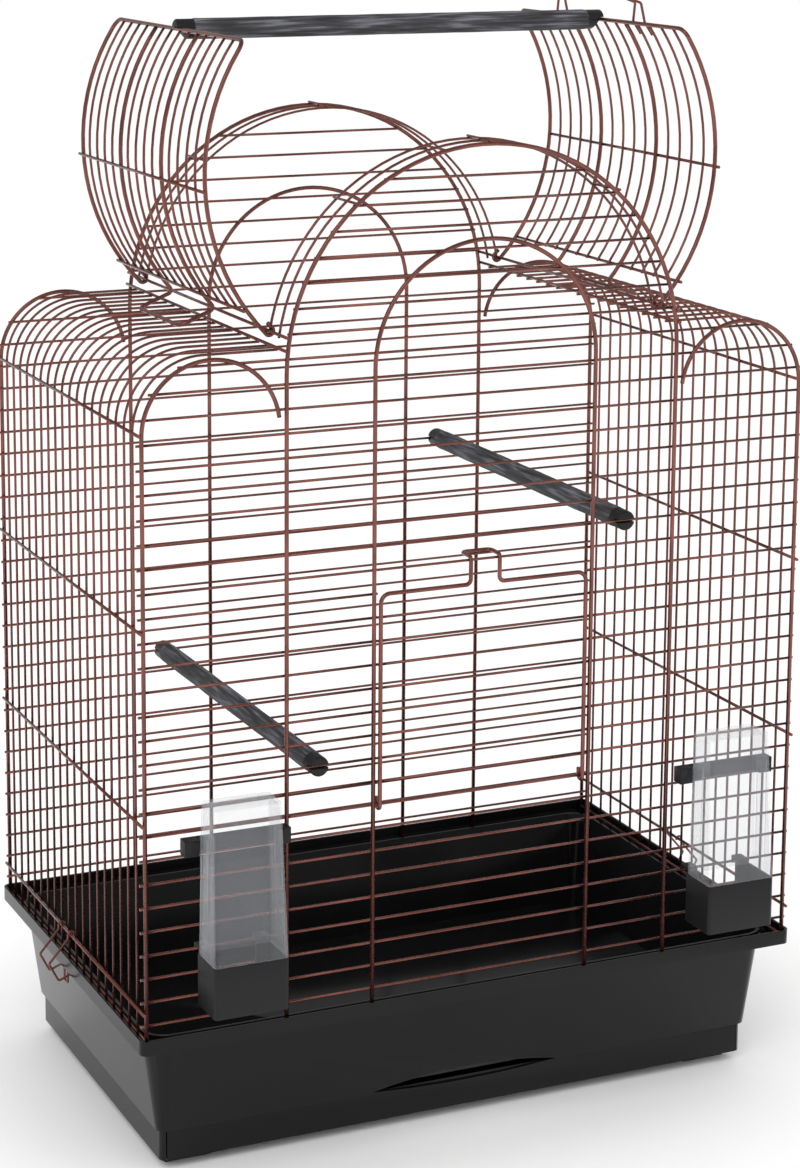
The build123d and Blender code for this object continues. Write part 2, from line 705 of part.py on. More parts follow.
for name, centre in (("left", feeder_left_x), ("right", feeder_right_x)):
    with BuildPart() as cup:
        with BuildSketch(Plane.XY.offset(cup_top - cup_height)):
            with Locations((centre, cup_mid)):
                RectangleRounded(cup_width, cup_depth, cup_corner)
        extrude(amount=cup_height)
        with BuildSketch(Plane.XY.offset(cup_top - cup_height + cup_wall)):
            with Locations((centre, cup_mid)):
                RectangleRounded(cup_width - 2 * cup_wall, cup_depth - 2 * cup_wall, cup_corner - cup_wall)
        extrude(amount=cup_height, mode=Mode.SUBTRACT)
        # The window through which the birds feed, round at its foot
        with BuildSketch(Plane.XZ.offset(cup_back + 2 * cup_wall)):
            with Locations((centre, cup_top - cup_height + cup_sill + cup_window / 2)):
                Circle(cup_window / 2)
            with Locations((centre, cup_top)):
                Rectangle(cup_window, 2 * (cup_height - cup_sill - cup_window / 2))
        extrude(amount=-3 * cup_wall, mode=Mode.SUBTRACT)
        # Two hooks over the bar at the cup's mouth
        for side in (-1, 1):
            hook_x = centre + side * (cup_window + cup_width) / 4
            hook_width = (cup_width - cup_window) / 2 - cup_corner
            with BuildSketch(Plane.YZ.offset(hook_x - hook_width / 2)):
                with BuildLine():
                    Polyline(
                        (-cup_back - cup_wall, cup_top - cup_hook_drop),
                        (-cup_back - cup_wall, cup_hook_z + cup_wall),
                        (cup_hook_reach - cup_back, cup_hook_z + cup_wall),
                        (cup_hook_reach - cup_back, cup_hook_z - cup_hook_drop),
                        (cup_hook_reach - cup_back - cup_wall, cup_hook_z - cup_hook_drop),
                        (cup_hook_reach - cup_back - cup_wall, cup_hook_z),
                        (-cup_back, cup_hook_z),
                        (-cup_back, cup_top - cup_hook_drop),
                        close=True,
                    )
                make_face()
            extrude(amount=hook_width)
    save(cup.part, f"feeder_cup_{name}")

    with BuildPart() as hopper:
        add(hopper_form(centre, 0))
        # Upright guide ribs on both flanks, flush with the foot
        for side in (-1, 1):
            for row in (-1, 1):
                rib_y = hopper_back - hopper_top_depth / 2 + row * hopper_top_depth / 4
                with Locations((centre + side * (cup_width / 2 - hopper_rib), rib_y, foot_z)):
                    Box(
                        2 * hopper_rib,
                        hopper_rib_width,
                        hopper_rib_height,
                        align=(Align.CENTER, Align.CENTER, Align.MIN),
                    )
        add(hopper_form(centre, hopper_wall), mode=Mode.SUBTRACT)
    save(hopper.part, f"feeder_hopper_{name}")

    with BuildPart() as bracket:
        with Locations((centre, -cup_back + running_gap, bracket_top - bracket_drop)):
            Box(
                bracket_width,
                bracket_plate,
                bracket_height,
                align=(Align.CENTER, Align.MAX, Align.CENTER),
            )
        for side in (-1, 1):
            with Locations(
                (centre + side * (arm_gap + arm_width / 2), -cup_back, bracket_top - bracket_drop)
            ):
                Box(
                    arm_width,
                    bracket_arm_depth,
                    bracket_height,
                    align=(Align.CENTER, Align.MAX, Align.CENTER),
                )
    save(bracket.part, f"feeder_bracket_{name}")

# Side clips: bent wire that turns on the lowest rail and snaps under the tray's lip
clip_rail_z = rim_height + rail_first
clip_eye = rail_wire + clip_wire + running_gap
lip_x = tray_width / 2
lip_foot = rim_height - lip_height
under_z = lip_foot - clip_wire - 2 * running_gap
for name, side in sides.items():
    eye = arc((rail_x, clip_rail_z), clip_eye, steps_between((190, 0), hook_turn))
    arm = [
        (rail_x + clip_eye, clip_rail_z - clip_drop),
        (lip_x + clip_bow, rim_height - clip_bow_drop),
        (lip_x + clip_bow / 2, under_z - clip_foot_drop),
        (lip_x - clip_under, under_z),
    ]
    tab = upright([arm[-1], (lip_x - clip_under, under_z - clip_tab_length)], -clip_tab_half, side)
    clip = bent_wire(and_back(upright(eye + arm, -clip_half_width, side) + tab, 1), clip_wire)
    save(repeated(clip, [(0, clip_y, 0)]), f"clip_{name}")
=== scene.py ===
"""Open-top budgie cage: round bent wires, moulded plastics and grained perches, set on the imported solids.

Metres, in the frame of the solids: +Z up, +X to the right seen from the front, front at -Y, origin on the
floor. Each wire is a circle carried along a line of straight runs and tangent arcs.
"""

from math import asin, cos, degrees, radians, sin, sqrt

import bmesh
import bpy
import numpy as np
from mathutils import Matrix, Vector


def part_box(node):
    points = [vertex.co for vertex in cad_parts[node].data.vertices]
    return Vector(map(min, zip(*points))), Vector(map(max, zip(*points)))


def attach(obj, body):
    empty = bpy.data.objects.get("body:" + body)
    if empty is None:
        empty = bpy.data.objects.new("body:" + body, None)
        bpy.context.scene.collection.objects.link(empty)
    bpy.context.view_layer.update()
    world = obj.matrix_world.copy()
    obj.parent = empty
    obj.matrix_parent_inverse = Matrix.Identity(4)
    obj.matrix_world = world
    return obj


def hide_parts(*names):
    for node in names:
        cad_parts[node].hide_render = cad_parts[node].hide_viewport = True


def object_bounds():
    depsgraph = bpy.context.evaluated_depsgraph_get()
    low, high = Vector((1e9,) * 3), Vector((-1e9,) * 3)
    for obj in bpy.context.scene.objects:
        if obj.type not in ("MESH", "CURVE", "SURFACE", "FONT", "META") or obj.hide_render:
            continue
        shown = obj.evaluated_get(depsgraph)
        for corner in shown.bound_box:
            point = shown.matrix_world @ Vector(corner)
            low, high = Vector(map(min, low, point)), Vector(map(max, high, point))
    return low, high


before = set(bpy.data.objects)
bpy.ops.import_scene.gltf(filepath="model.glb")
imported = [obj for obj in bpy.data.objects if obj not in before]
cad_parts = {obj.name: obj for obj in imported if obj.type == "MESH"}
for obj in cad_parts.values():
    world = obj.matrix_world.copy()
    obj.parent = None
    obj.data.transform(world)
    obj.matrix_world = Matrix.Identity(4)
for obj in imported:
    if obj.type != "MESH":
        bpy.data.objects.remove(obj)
CAD_BOX = [list(corner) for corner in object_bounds()]

bl_info = {
    "name": "Open-Top Budgie Cage",
    "version": (1, 0, 0),
    "blender": (4, 5, 0),
    "location": "View3D > Sidebar > Budgie Cage",
    "description": "Builds a wire budgie cage with a two-flap roof, a tray, perches and feeders",
    "category": "Add Mesh",
}

MM = 0.001

# Wires, as radii, and the depth of a weld between six-sided sections
FRAME_WIRE = 1.6 * MM
THIN_WIRE = 1.0 * MM
RAIL_WIRE = 1.2 * MM
CLIP_WIRE = 0.9 * MM
WELD = 0.005 * MM
WELD_SIDES = 6
RUNNING_GAP = 0.3 * MM

# Wire body
RIM_HEIGHT = 116 * MM
WIRE_FLOOR = RIM_HEIGHT - 8 * MM
BODY_HALF_WIDTH = 264.6 * MM
BODY_HALF_DEPTH = 163.9 * MM
ARCH_HALF_WIDTH = 156.7 * MM
DOOR_POST_X = 88.65 * MM
SPRING_Z = RIM_HEIGHT + 437 * MM
SHOULDER_RADIUS = 51.4 * MM
SHOULDER_SWEEP = 172
ARCH_Z = RIM_HEIGHT + 473 * MM
BAR_PITCH = 17.6 * MM
FIRST_BAR = 9 * MM
BAR_OVERRUN = 3.5 * MM
ARCH_OVERRUN = 1.0 * MM
BAR_COUNT = 35
HINGE_BAR = 8
LATCH_BAR = 18
SIDE_WIRE_COUNT = 18
RAIL_FIRST = 19 * MM
RAIL_PITCH = 140 * MM
RAIL_COUNT = 4
RAIL_OVERRUN = 2.2 * MM
ROOF_WIRE_OVERRUN = 1.5 * MM
BOTTOM_ROD_HEIGHT = 4 * MM

# Roof strips and flaps
STRIP_ARCS = 2
STRIP_TIE_ANGLES = (48.5, 90, 131.5)
STRIP_TIE_OVERRUN = 1.6 * MM
STRIP_END_ANGLE = 1
HINGE_Z = RIM_HEIGHT + 500 * MM
FLAP_PITCH = 17.6 * MM
FLAP_SPACES = 15
PROP_SPACES = 5
FLAP_OPEN = 54
FLAP_CORNER = 8 * MM
FLAP_MEETING_GAP = 0.6 * MM
CORNER_SHARE = 0.97
FLAP_MID_ANGLE = 50.5
FLAP_LOW_ANGLE = 18.5
FLAP_BAR_OVERRUN = 2.4 * MM
HOOK_TAIL = 5 * MM
PROP_LEAVE = 7 * MM
PROP_END_X = 191.5 * MM
PROP_BEND = 6 * MM
LATCH_RISE = 10 * MM
LATCH_LENGTH = 25 * MM
LATCH_Y = 61.6 * MM
LATCH_TIP = 5 * MM
LATCH_TAIL = 12 * MM
LATCH_BEND = 2.4 * MM

# Door
DOOR_SIDE_GAP = 1.9 * MM
DOOR_CORNER = 7 * MM
DOOR_LOOP_HALF = 11.7 * MM
DOOR_LOOP_DEPTH = 13 * MM
DOOR_LOOP_BEND = 4 * MM
DOOR_BAR_OVERRUN = 1.2 * MM
DOOR_HOOK_TAIL = 5 * MM
DOOR_HOOK_POINTS = 13

# Clips
CLIP_Y = 10 * MM
CLIP_HALF_WIDTH = 11.2 * MM
CLIP_DROP = 3 * MM
CLIP_BOW = 15 * MM
CLIP_BOW_DROP = 2 * MM
CLIP_FOOT_DROP = 4 * MM
CLIP_UNDER = 2.2 * MM
CLIP_TAB_HALF = 4 * MM
CLIP_TAB_LENGTH = 10 * MM
CLIP_BEND = 1.8 * MM
TRAY_HALF_WIDTH = 270 * MM
LIP_FOOT = RIM_HEIGHT - 11 * MM

# Perches
PERCH_RADIUS = 7.5 * MM
SLEEVE_INSET = 12 * MM
SLEEVE_RISE = 0.25 * MM
GRAIN_DEPTH = 0.16 * MM
SLEEVE_SIDES = 48
SLEEVE_RINGS = 90

# Picture: the camera's place and turn were fitted to the wire body's corners in an 800 x 1168 picture
PICTURE_LONG_SIDE = 1168
FOCAL_PIXELS = 2806.4
CAMERA_PLACE = (-0.8970, -1.9410, 0.9534)
CAMERA_TURN = -23.72
CAMERA_DROP = 9.98
CAMERA_ROLL = 0.2
CENTRE_PIXEL = (340, 340)
PICTURE_MIDDLE = (400, 584)

# Stage
SURROUND_LIGHT = 1.06
GLOSS_DIMMING = -0.6
FLOOR_REACH = 12.0
KEY_LAMP_PLACE = (-1.5, -1.6, 1.6)
FILL_LAMP_PLACE = (1.9, -1.2, 0.7)

SIDES = {"left": -1, "right": 1}


def touching(first, second):
    """Distance between the axes of two welded wires: their flats' radii, less the weld."""
    return (first + second) * cos(radians(180 / WELD_SIDES)) - WELD


def level(index):
    """Height of one horizontal bar of the front and back panels."""
    return RIM_HEIGHT + FIRST_BAR + index * BAR_PITCH


BAR_Y = BODY_HALF_DEPTH - touching(FRAME_WIRE, THIN_WIRE)
RAIL_X = BODY_HALF_WIDTH + touching(FRAME_WIRE, RAIL_WIRE)
SIDE_X = RAIL_X - touching(RAIL_WIRE, THIN_WIRE)
SHOULDER_X = BODY_HALF_WIDTH - SHOULDER_RADIUS
SIDE_RADIUS = SIDE_X - SHOULDER_X
ROOF_WIRE_Z = SPRING_Z + SIDE_RADIUS
ROOF_RAIL_Z = ROOF_WIRE_Z + touching(THIN_WIRE, RAIL_WIRE)
RAIL_RADIUS = ARCH_HALF_WIDTH + touching(FRAME_WIRE, RAIL_WIRE)
ROOF_RAIL_X = sqrt(RAIL_RADIUS**2 - (ROOF_RAIL_Z - ARCH_Z) ** 2)
RAIL_HALF = BODY_HALF_DEPTH + RAIL_OVERRUN
HINGE_ANGLE = degrees(asin((HINGE_Z - ARCH_Z) / RAIL_RADIUS))
HINGE_X = RAIL_RADIUS * cos(radians(HINGE_ANGLE))
STRIP_RADIUS = RAIL_RADIUS - touching(RAIL_WIRE, THIN_WIRE)
TIE_RADIUS = STRIP_RADIUS + touching(THIN_WIRE, THIN_WIRE)


# Mesh work


def arc(centre, radius, start, stop, step=4.0):
    """Points (x, z) of a circle: centre + radius * (cos a, sin a), for even angles a from start to stop."""
    count = max(int(np.ceil(abs(stop - start) / step)), 1) + 1
    angles = np.radians(np.linspace(start, stop, count))
    return np.asarray(centre) + radius * np.stack((np.cos(angles), np.sin(angles)), axis=1)


def upright(curve, y, side=1):
    """Points (x, z) put at one depth: (side * x, y, z)."""
    curve = np.asarray(curve, float)
    return np.stack((side * curve[:, 0], np.full(len(curve), y), curve[:, 1]), axis=1)


def straight(centre, half_length, axis):
    """The two ends of a straight wire: the centre less and plus half its length along one axis."""
    reach = np.zeros(3)
    reach[axis] = half_length
    return np.array((np.subtract(centre, reach), np.add(centre, reach)))


def and_back(points, axis):
    """A run, then its mirror image across one axis, walked back."""
    flip = np.ones(3)
    flip[axis] = -1
    points = np.asarray(points, float)
    return np.vstack((points, points[::-1] * flip))


def turned(point, angle):
    """A vector (x, z) turned by an angle from +X towards +Z."""
    across, up = point
    turn = radians(angle)
    return np.array((across * cos(turn) - up * sin(turn), across * sin(turn) + up * cos(turn)))


def rounded(points, bends, step=15.0):
    """The path with a tangent arc at each inner point. About the centre c on the bisector b, with w across
    it, the arc is c - r * b * cos s + r * w * sin s, for s from minus to plus half the turn."""
    points = np.asarray(points, float)
    path = [points[:1]]
    for before, corner, after, bend in zip(points, points[1:], points[2:], bends):
        inward = (corner - before) / np.linalg.norm(corner - before)
        outward = (after - corner) / np.linalg.norm(after - corner)
        half_turn = np.arccos(np.clip(inward @ outward, -1, 1)) / 2
        if half_turn < 1e-4 or bend == 0:
            path.append(corner[None])
            continue
        bisector = (outward - inward) / np.linalg.norm(outward - inward)
        across = (outward + inward) / np.linalg.norm(outward + inward)
        centre = corner + bisector * bend / cos(half_turn)
        count = max(int(np.ceil(degrees(2 * half_turn) / step)), 2) + 1
        angles = np.linspace(-half_turn, half_turn, count)[:, None]
        path.append(centre - bend * bisector * np.cos(angles) + bend * across * np.sin(angles))
    path.append(points[-1:])
    return np.vstack(path)


def ring_faces(rings, sides):
    """Quads between rings of points that follow each other, and a cap at each end."""
    ring = np.arange(rings - 1)[:, None] * sides
    place = np.arange(sides)[None, :]
    following = (place + 1) % sides
    corners = (ring + place, ring + following, ring + sides + following, ring + sides + place)
    last = (rings - 1) * sides
    caps = [list(range(sides))[::-1], list(range(last, last + sides))]
    return np.stack(corners, axis=-1).reshape(-1, 4).tolist() + caps


def tube(path, radius, sides):
    """A round wire: ring i is p_i + r * (n_i * cos a + b_i * sin a), where n_i is the ring before's normal
    made square to this ring's direction, and b_i is square to both. Both ends are capped."""
    path = np.asarray(path, float)
    runs = np.diff(path, axis=0)
    runs /= np.linalg.norm(runs, axis=1, keepdims=True)
    along = np.vstack((runs[:1], runs[:-1] + runs[1:], runs[-1:]))
    along /= np.linalg.norm(along, axis=1, keepdims=True)
    normal = np.eye(3)[np.argmin(np.abs(along[0]))]
    normals = np.empty_like(path)
    for ring, direction in enumerate(along):
        normal = normal - direction * (normal @ direction)
        normal = normal / np.linalg.norm(normal)
        normals[ring] = normal
    across = np.cross(along, normals)
    angles = (np.arange(sides) * 2 * np.pi / sides)[None, :, None]
    circle = np.cos(angles) * normals[:, None] + np.sin(angles) * across[:, None]
    points = (path[:, None] + radius * circle).reshape(-1, 3)
    return points, ring_faces(len(path), sides)


def copied(shape, offsets):
    """The same shape at several places: its points plus each offset."""
    points, faces = shape
    offsets = np.asarray(offsets, float)
    moved = (points[None] + offsets[:, None]).reshape(-1, 3)
    starts = [copy * len(points) for copy in range(len(offsets))]
    return moved, [[corner + start for corner in face] for start in starts for face in faces]


def joined(shapes):
    """Several shapes as one: their points and faces one after the other."""
    points, faces, count = [], [], 0
    for shape_points, shape_faces in shapes:
        points.append(shape_points)
        faces += [[corner + count for corner in face] for face in shape_faces]
        count += len(shape_points)
    return np.vstack(points), faces


def new_piece(name, shape, material, body):
    """A mesh object from points and faces, smooth but for its flat caps, riding on one body."""
    points, faces = shape
    mesh = bpy.data.meshes.new(name)
    mesh.from_pydata(points.tolist(), [], faces)
    mesh.polygons.foreach_set("use_smooth", [len(face) == 4 for face in faces])
    mesh.update()
    mesh.materials.append(material)
    piece = bpy.data.objects.new(name, mesh)
    bpy.context.collection.objects.link(piece)
    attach(piece, body)
    return piece


def wires(node, shapes, body):
    """The round wires that stand for one node."""
    piece = new_piece(f"{node}_round", joined(shapes), material_named("Dark copper wire"), body)
    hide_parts(node)
    return piece


def eased_copy(node, name, material, body, width, segments=2):
    """A node's own mesh, merged, its flat triangles joined, with each sharp edge bevelled by one width."""
    mesh = bpy.data.meshes.new(name)
    work = bmesh.new()
    work.from_mesh(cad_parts[node].data)
    bmesh.ops.remove_doubles(work, verts=work.verts, dist=1e-6)
    bmesh.ops.dissolve_limit(work, angle_limit=radians(0.5), verts=work.verts, edges=work.edges)
    work.to_mesh(mesh)
    work.free()
    mesh.materials.clear()
    mesh.materials.append(material)
    mesh.shade_smooth()
    piece = bpy.data.objects.new(name, mesh)
    bpy.context.collection.objects.link(piece)
    bevel = piece.modifiers.new("Moulded edges", "BEVEL")
    bevel.width = width
    bevel.segments = segments
    bevel.limit_method = "ANGLE"
    bevel.angle_limit = radians(32)
    bevel.harden_normals = True
    bevel.use_clamp_overlap = True
    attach(piece, body)
    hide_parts(node)
    return piece


# Materials


def material_named(name):
    """A finish that was made before, by its name."""
    return bpy.data.materials[name]


def blank_material(name):
    """The nodes, links and shader of a new material, and an Object coordinate to read from."""
    material = bpy.data.materials.new(name)
    material.use_nodes = True
    nodes = material.node_tree.nodes
    shader = nodes["Principled BSDF"]
    place = nodes.new("ShaderNodeTexCoord")
    return nodes, material.node_tree.links, shader, place.outputs["Object"]


def noise(nodes, links, source, scale, detail=4.0, stretch=(1, 1, 1)):
    """Noise over the object's own place, drawn out along an axis by a small stretch."""
    mapping = nodes.new("ShaderNodeMapping")
    mapping.inputs["Scale"].default_value = stretch
    links.new(source, mapping.inputs["Vector"])
    texture = nodes.new("ShaderNodeTexNoise")
    texture.inputs["Scale"].default_value = scale
    texture.inputs["Detail"].default_value = detail
    links.new(mapping.outputs["Vector"], texture.inputs["Vector"])
    return texture.outputs["Fac"]


def ramp(nodes, links, source, stops):
    """A colour ramp with (position, colour) stops."""
    node = nodes.new("ShaderNodeValToRGB")
    elements = node.color_ramp.elements
    while len(elements) < len(stops):
        elements.new(1.0)
    for element, (position, colour) in zip(elements, stops):
        element.position = position
        element.color = (*colour[:3], 1)
    links.new(source, node.inputs["Fac"])
    return node.outputs["Color"]


def spread(nodes, links, source, low, high):
    """A noise value carried from the middle of its range to low and high."""
    node = nodes.new("ShaderNodeMapRange")
    node.inputs["From Min"].default_value = 0.3
    node.inputs["From Max"].default_value = 0.7
    node.inputs["To Min"].default_value = low
    node.inputs["To Max"].default_value = high
    links.new(source, node.inputs["Value"])
    return node.outputs["Result"]


def bump(nodes, links, source, shader, strength, distance):
    """Height from a noise, into the shader's normal."""
    node = nodes.new("ShaderNodeBump")
    node.inputs["Strength"].default_value = strength
    node.inputs["Distance"].default_value = distance
    links.new(source, node.inputs["Height"])
    links.new(node.outputs["Normal"], shader.inputs["Normal"])


def make_wire_finish(colours):
    """Copper-brown lacquer on steel wire: slow shifts of colour and of gloss, and a thin clear coat."""
    nodes, links, shader, place = blank_material("Dark copper wire")
    slow = noise(nodes, links, place, 35)
    fine = noise(nodes, links, place, 900)
    deep = [value * 0.55 for value in colours.wire[:3]]
    links.new(ramp(nodes, links, slow, ((0.3, deep), (0.7, colours.wire))), shader.inputs["Base Color"])
    links.new(spread(nodes, links, fine, 0.2, 0.36), shader.inputs["Roughness"])
    shader.inputs["Metallic"].default_value = 0.85
    shader.inputs["Coat Weight"].default_value = 0.25
    shader.inputs["Coat Roughness"].default_value = 0.12
    bump(nodes, links, fine, shader, 0.15, 0.0001)


def make_plastic_finish(name, colour, roughness, pore_scale, pore_strength):
    """Moulded plastic: one colour with faint shifts, and a fine moulded grain."""
    nodes, links, shader, place = blank_material(name)
    slow = noise(nodes, links, place, 9)
    grain = noise(nodes, links, place, pore_scale, 2)
    lighter = [value * 1.35 + 0.001 for value in colour[:3]]
    links.new(ramp(nodes, links, slow, ((0.35, colour), (0.7, lighter))), shader.inputs["Base Color"])
    links.new(spread(nodes, links, slow, roughness * 0.85, roughness * 1.2), shader.inputs["Roughness"])
    shader.inputs["Specular IOR Level"].default_value = 0.24
    bump(nodes, links, grain, shader, pore_strength, 0.0001)


def make_clear_finish(colours):
    """Clear moulded plastic: see-through where faced, greyer and glossier towards its edges."""
    nodes, links, shader, place = blank_material("Clear plastic")
    slow = noise(nodes, links, place, 60)
    edge = nodes.new("ShaderNodeLayerWeight")
    edge.inputs["Blend"].default_value = 0.35
    alpha = nodes.new("ShaderNodeMapRange")
    alpha.inputs["To Min"].default_value = 0.03
    alpha.inputs["To Max"].default_value = 0.38
    links.new(edge.outputs["Facing"], alpha.inputs["Value"])
    links.new(alpha.outputs["Result"], shader.inputs["Alpha"])
    shader.inputs["Base Color"].default_value = (*colours.clear[:3], 1)
    links.new(spread(nodes, links, slow, 0.03, 0.07), shader.inputs["Roughness"])
    shader.inputs["Specular IOR Level"].default_value = 0.8
    bump(nodes, links, slow, shader, 0.03, 0.0003)


def make_perch_finish(name, colours, stretch):
    """Charcoal bark print: dark and pale streaks drawn out along the perch, rough and shallow."""
    nodes, links, shader, place = blank_material(name)
    streaks = noise(nodes, links, place, 380, 6, stretch)
    dark = [value * 0.35 for value in colours.perch[:3]]
    pale = [min(value * 3.4, 1) for value in colours.perch[:3]]
    stops = ((0.38, dark), (0.52, colours.perch), (0.68, pale))
    links.new(ramp(nodes, links, streaks, stops), shader.inputs["Base Color"])
    links.new(spread(nodes, links, streaks, 0.6, 0.85), shader.inputs["Roughness"])
    bump(nodes, links, streaks, shader, 0.6, 0.0006)


def make_finishes(colours):
    """Every finish of the cage."""
    if "Dark copper wire" in bpy.data.materials:
        return
    make_wire_finish(colours)
    make_plastic_finish("Glossy black plastic", colours.tray, 0.16, 1400, 0.05)
    make_plastic_finish("Matte black plastic", colours.feeder, 0.42, 2600, 0.12)
    make_clear_finish(colours)
    make_perch_finish("Charcoal bark, front to back", colours, (1, 0.07, 1))
    make_perch_finish("Charcoal bark, side to side", colours, (0.07, 1, 1))


# Settings


class CageSizes(bpy.types.PropertyGroup):
    """Sizes that a user would change."""

    wire_sides: bpy.props.IntProperty(
        name="Wire sides", description="Faces round each wire", default=12, min=6, max=24, subtype="UNSIGNED"
    )
    tray_edge: bpy.props.FloatProperty(
        name="Tray edge", description="Bevel of the tray's moulded edges", default=0.0009, unit="LENGTH"
    )
    feeder_edge: bpy.props.FloatProperty(
        name="Feeder edge", description="Bevel of the feeders' moulded edges", default=0.0005, unit="LENGTH"
    )
    key_power: bpy.props.FloatProperty(
        name="Key light", description="Power of the large soft lamp", default=16, unit="POWER"
    )
    fill_power: bpy.props.FloatProperty(
        name="Fill light", description="Power of the second lamp", default=6, unit="POWER"
    )


class CageColours(bpy.types.PropertyGroup):
    """Colours that a user would change."""

    wire: bpy.props.FloatVectorProperty(
        name="Wire", description="Lacquered wire", subtype="COLOR", size=4, default=(0.25, 0.085, 0.064, 1)
    )
    tray: bpy.props.FloatVectorProperty(
        name="Tray", description="Tray and drawer", subtype="COLOR", size=4, default=(0.003, 0.003, 0.0035, 1)
    )
    feeder: bpy.props.FloatVectorProperty(
        name="Feeder",
        description="Cups, brackets and perch ends",
        subtype="COLOR",
        size=4,
        default=(0.008, 0.008, 0.009, 1),
    )
    clear: bpy.props.FloatVectorProperty(
        name="Hopper", description="Clear hoppers", subtype="COLOR", size=4, default=(0.55, 0.57, 0.6, 1)
    )
    perch: bpy.props.FloatVectorProperty(
        name="Perch", description="Perch bark", subtype="COLOR", size=4, default=(0.045, 0.045, 0.052, 1)
    )


class CageOperator:
    """What every cage operator shares."""

    bl_options = {"REGISTER", "UNDO"}

    def prepare(self, context):
        """The sizes, with the finishes made first."""
        make_finishes(context.scene.cage_colours)
        return context.scene.cage_sizes


# Pieces


class CAGE_OT_tray(CageOperator, bpy.types.Operator):
    """Tray and drawer in glossy black, with softened edges"""

    bl_idname = "cage.tray"
    bl_label = "Tray and Drawer"

    def execute(self, context):
        sizes = self.prepare(context)
        black = material_named("Glossy black plastic")
        eased_copy("base_tub", "base_tub_moulded", black, "cage", sizes.tray_edge, 3)
        eased_copy("drawer", "drawer_moulded", black, "drawer", sizes.tray_edge / 2)
        return {"FINISHED"}


def bar_half_length(z):
    """Half a bar's length at one height: to the outer wire's own line, plus the short end past it."""
    if z <= SPRING_Z:
        return BODY_HALF_WIDTH + BAR_OVERRUN
    if z < SPRING_Z + SHOULDER_RADIUS:
        return SHOULDER_X + sqrt(SHOULDER_RADIUS**2 - (z - SPRING_Z) ** 2) + BAR_OVERRUN
    return sqrt(ARCH_HALF_WIDTH**2 - max(z - ARCH_Z, 0) ** 2) + ARCH_OVERRUN


def panel_bars(indexes, y, sides):
    """Full-width bars of one panel."""
    return [tube(straight((0, y, level(i)), bar_half_length(level(i)), 0), THIN_WIRE, sides) for i in indexes]


def split_bars(indexes, y, sides):
    """Bars that stop at the door posts."""
    outer = BODY_HALF_WIDTH + BAR_OVERRUN
    inner = DOOR_POST_X - BAR_OVERRUN
    bar = tube(straight((0, y, 0), (outer - inner) / 2, 0), THIN_WIRE, sides)
    return [copied(bar, [(side * (outer + inner) / 2, 0, level(i)) for i in indexes for side in (-1, 1)])]


class CAGE_OT_panels(CageOperator, bpy.types.Operator):
    """Front and back: corner posts, arches and horizontal bars"""

    bl_idname = "cage.panels"
    bl_label = "Front and Back Panels"

    def execute(self, context):
        sides = self.prepare(context).wire_sides
        shoulder = arc((SHOULDER_X, SPRING_Z), SHOULDER_RADIUS, 0, SHOULDER_SWEEP)
        post = np.vstack(((BODY_HALF_WIDTH, WIRE_FLOOR), shoulder))
        for end, y in (("front", -BODY_HALF_DEPTH), ("back", BODY_HALF_DEPTH)):
            for name, side in SIDES.items():
                wires(f"{end}_post_{name}", [tube(upright(post, y, side), FRAME_WIRE, sides)], "cage")
            for name, half in (("outer", ARCH_HALF_WIDTH), ("inner", DOOR_POST_X)):
                arch = np.vstack(((half, WIRE_FLOOR), arc((0, ARCH_Z), half, 0, 180), (-half, WIRE_FLOOR)))
                wires(f"{end}_arch_{name}", [tube(upright(arch, y), FRAME_WIRE, sides)], "cage")
        wires("front_bars_lower", panel_bars(range(HINGE_BAR + 1), -BAR_Y, sides), "cage")
        wires("front_bars_door", split_bars(range(HINGE_BAR + 1, LATCH_BAR), -BAR_Y, sides), "cage")
        wires("front_bars_upper", panel_bars(range(LATCH_BAR, BAR_COUNT), -BAR_Y, sides), "cage")
        wires("back_bars_lower", panel_bars(range(LATCH_BAR), BAR_Y, sides), "cage")
        wires("back_bars_upper", panel_bars(range(LATCH_BAR, BAR_COUNT), BAR_Y, sides), "cage")
        return {"FINISHED"}


class CAGE_OT_sides(CageOperator, bpy.types.Operator):
    """Side wires over the shoulders, with their rails and bottom rods"""

    bl_idname = "cage.sides"
    bl_label = "Side Panels"

    def execute(self, context):
        sides = self.prepare(context).wire_sides
        bend = arc((SHOULDER_X, SPRING_Z), SIDE_RADIUS, 0, 90, 5)
        foot = (SIDE_X, WIRE_FLOOR + RUNNING_GAP)
        curve = np.vstack((foot, bend, (ROOF_RAIL_X - ROOF_WIRE_OVERRUN, ROOF_WIRE_Z)))
        pitch = 2 * BODY_HALF_DEPTH / (SIDE_WIRE_COUNT + 1)
        places = [(0, (i - (SIDE_WIRE_COUNT - 1) / 2) * pitch, 0) for i in range(SIDE_WIRE_COUNT)]
        rail = tube(straight((0, 0, 0), RAIL_HALF, 1), RAIL_WIRE, sides)
        rod_half = BODY_HALF_DEPTH - FRAME_WIRE - RUNNING_GAP
        rod_x = SIDE_X - touching(THIN_WIRE, RAIL_WIRE)
        rod_z = WIRE_FLOOR + BOTTOM_ROD_HEIGHT
        for name, side in SIDES.items():
            wire = tube(upright(curve, 0, side), THIN_WIRE, sides - 2)
            wires(f"side_wires_{name}", [copied(wire, places)], "cage")
            heights = [RIM_HEIGHT + RAIL_FIRST + row * RAIL_PITCH for row in range(RAIL_COUNT)]
            wires(f"side_rails_{name}", [copied(rail, [(side * RAIL_X, 0, z) for z in heights])], "cage")
            rod = tube(straight((side * rod_x, 0, rod_z), rod_half, 1), RAIL_WIRE, sides)
            wires(f"bottom_rod_{name}", [rod], "cage")
        return {"FINISHED"}


